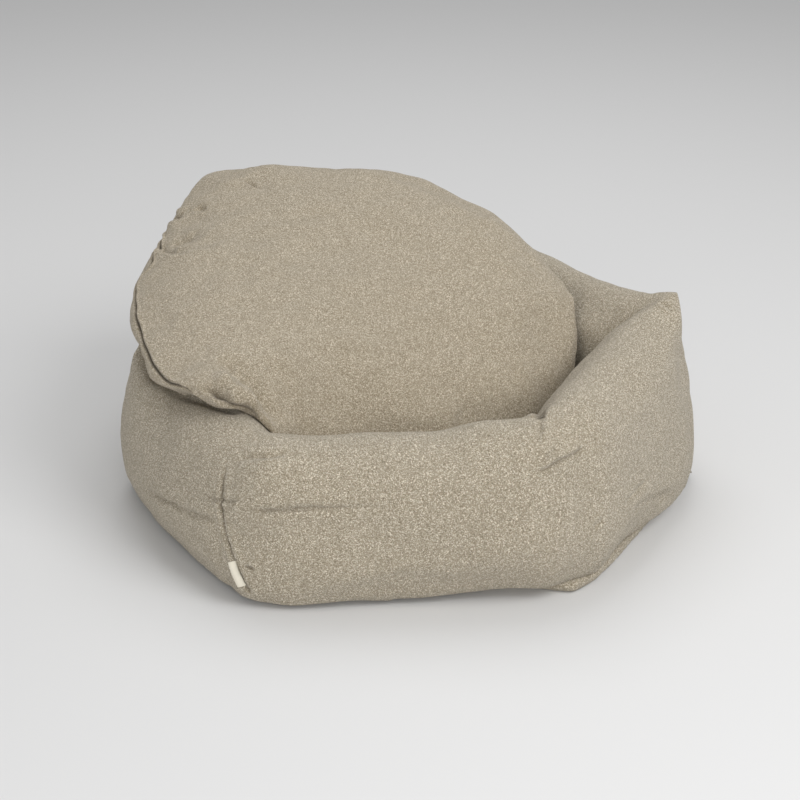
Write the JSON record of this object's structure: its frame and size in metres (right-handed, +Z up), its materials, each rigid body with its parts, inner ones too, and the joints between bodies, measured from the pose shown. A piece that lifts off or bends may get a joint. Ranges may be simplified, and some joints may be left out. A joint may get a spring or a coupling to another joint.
{
  "type": "hexagonal dog bed",
  "caption": "Hexagonal pet bed: padded fabric walls round a flat base, with a loose filled pillow leaning inside that spills over the left wall, and a small sewn-in label.",
  "frame": {"origin": "middle of the base pad's flat underside, on the floor", "axes": "+Z up, +X to the right along the front wall, +Y from the front wall to the back wall"},
  "size_m": [0.6852, 0.6274, 0.3157],
  "materials": {
    "boucle_cover": "looped boucle, matte",
    "base_cloth": "plain woven cloth, matte",
    "boucle_pillow": "looped boucle, matte",
    "woven_label": "tightly woven tape, satin"
  },
  "bodies": {
    "root": {"wall_front_left": "boucle_cover", "wall_front": "boucle_cover", "wall_front_right": "boucle_cover", "wall_back_right": "boucle_cover", "wall_back": "boucle_cover", "wall_back_left": "boucle_cover", "base_pad": "base_cloth", "cushion": "boucle_pillow", "label": "woven_label"}
  },
  "joints": []
}
